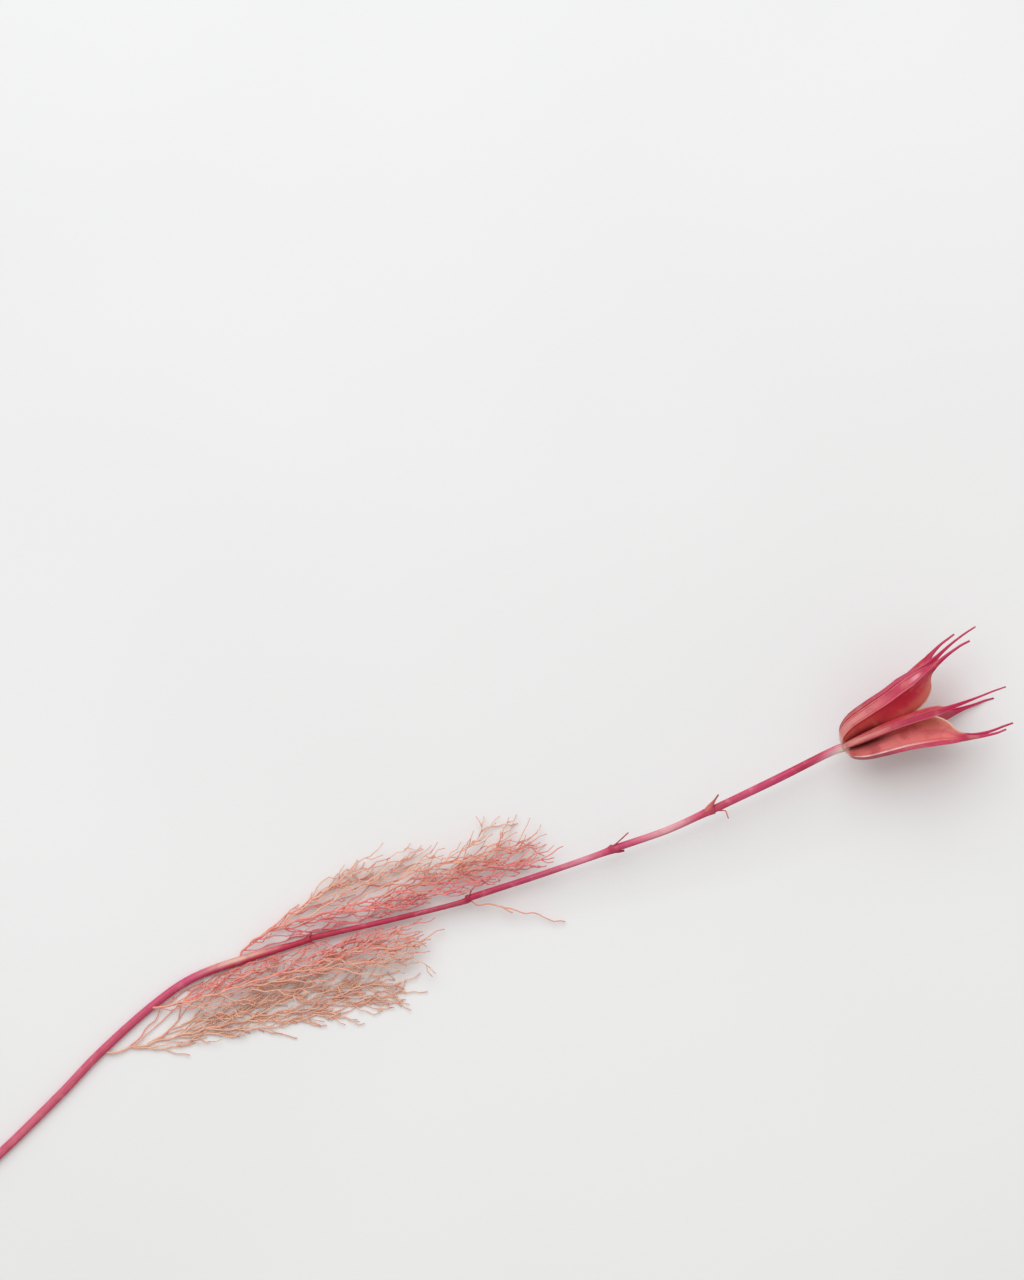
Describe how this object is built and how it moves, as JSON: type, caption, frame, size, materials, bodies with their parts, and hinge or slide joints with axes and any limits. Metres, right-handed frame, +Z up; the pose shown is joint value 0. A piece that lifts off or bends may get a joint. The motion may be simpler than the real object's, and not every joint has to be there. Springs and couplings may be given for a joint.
{
  "type": "nigella seed pod",
  "caption": "Dried, dyed nigella seed pod of flared, beaked follicles on a cut stem with fine thread-like leaves, for dried flower arrangements; it lies on its side.",
  "frame": {"origin": "centre of the object's bounding box in plan, on the surface that it lies on", "axes": "+X along the stem from its cut end to the pod's beaks, +Z up from the surface that it lies on, +Y to the left of +X"},
  "size_m": [0.2746, 0.0372, 0.0267],
  "materials": {
    "dyed_pod": "dry papery seed-pod skin, dyed pink, satin",
    "dyed_stem": "dried plant stem, dyed pink, satin",
    "dried_leaf": "dried thread-like leaf, peach with a pink tinge, matte"
  },
  "bodies": {
    "root": {"seed_pod": "dyed_pod", "stem": "dyed_stem", "leaf_upper": "dried_leaf", "leaf_middle": "dried_leaf", "leaf_lower": "dried_leaf", "leaf_thread": "dried_leaf"}
  },
  "joints": []
}
